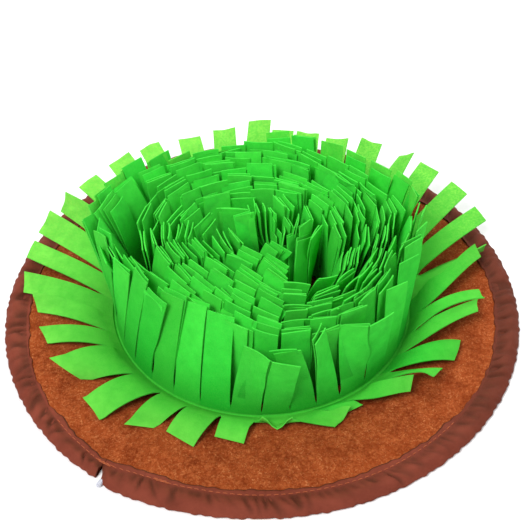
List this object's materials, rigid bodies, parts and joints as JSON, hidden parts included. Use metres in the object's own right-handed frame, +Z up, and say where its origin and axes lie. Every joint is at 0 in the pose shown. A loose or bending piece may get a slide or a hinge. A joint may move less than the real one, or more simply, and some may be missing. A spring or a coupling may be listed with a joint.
{
  "type": "snuffle mat",
  "caption": "Round felt snuffle mat for a dog: a brown base with a gathered fabric rim carries dense rings of tall green felt fringe that hide dry food.",
  "frame": {"origin": "centre of the mat on the floor it lies on", "axes": "+Z up out of the fringe, -Y to the front, +X to the right"},
  "size_m": [0.4994, 0.4993, 0.1038],
  "materials": {
    "grip_disc": "matte woven anti-slip fabric",
    "felt_base": "mottled needle felt",
    "rim_casing": "gathered woven polyester with a soft sheen",
    "drawcord_end": "braided cord",
    "fringe_ring_1": "smooth felt",
    "fringe_ring_2": "smooth felt",
    "fringe_ring_3": "smooth felt",
    "fringe_ring_4": "smooth felt",
    "fringe_ring_5": "smooth felt",
    "fringe_ring_6": "smooth felt",
    "fringe_ring_7": "smooth felt"
  },
  "bodies": {
    "root": {"grip_disc": "grip_disc", "felt_base": "felt_base", "rim_casing": "rim_casing", "drawcord_end": "drawcord_end", "fringe_ring_1": "fringe_ring_1", "fringe_ring_2": "fringe_ring_2", "fringe_ring_3": "fringe_ring_3", "fringe_ring_4": "fringe_ring_4", "fringe_ring_5": "fringe_ring_5", "fringe_ring_6": "fringe_ring_6", "fringe_ring_7": "fringe_ring_7"}
  },
  "joints": []
}
